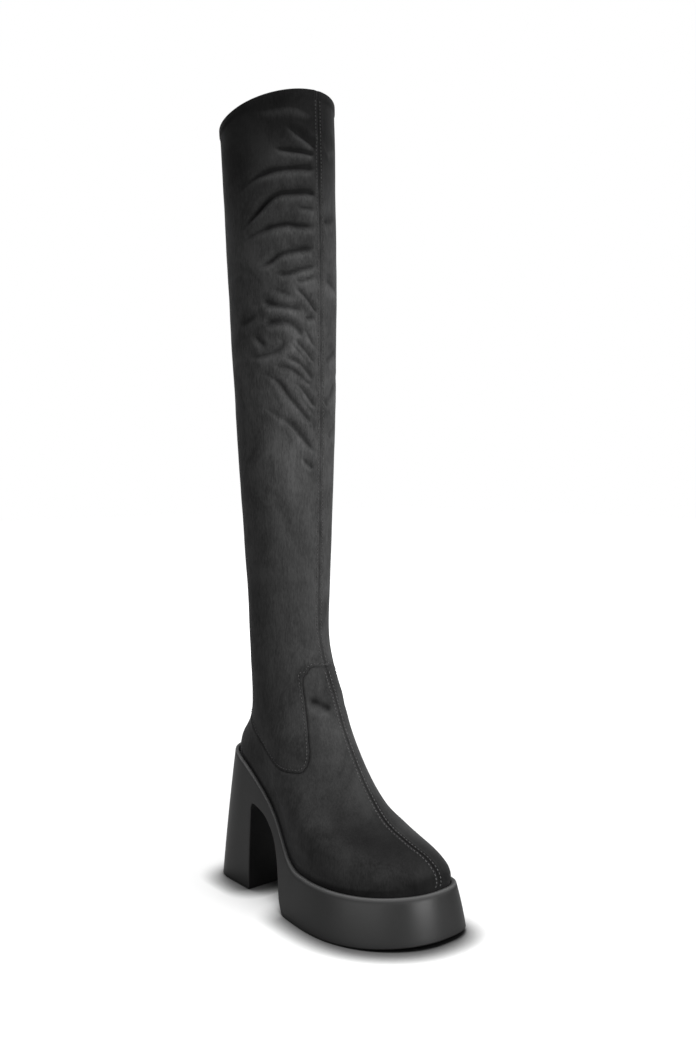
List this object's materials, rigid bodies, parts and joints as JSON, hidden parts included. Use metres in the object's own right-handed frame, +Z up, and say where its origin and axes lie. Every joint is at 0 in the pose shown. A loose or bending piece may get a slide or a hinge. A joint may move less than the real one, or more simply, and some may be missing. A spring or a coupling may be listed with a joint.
{
  "type": "platform boot",
  "caption": "Over-the-knee platform boot for the right foot: slim stretch shaft with a sloped collar, rounded toe, block heel and a thick moulded sole.",
  "frame": {"origin": "on the floor under the middle of the boot's box", "axes": "+X toward the toe, +Y toward the medial side of this right boot, +Z up"},
  "size_m": [0.2451, 0.105, 0.6555],
  "materials": {
    "sole_rubber": "satin moulded",
    "upper_suede": "short black suede nap",
    "shaft_suede": "short black suede nap on stretch backing",
    "insole_cloth": "matte"
  },
  "bodies": {
    "root": {"sole_unit": "sole_rubber", "foot_upper": "upper_suede", "shaft": "shaft_suede", "insole": "insole_cloth"}
  },
  "joints": []
}
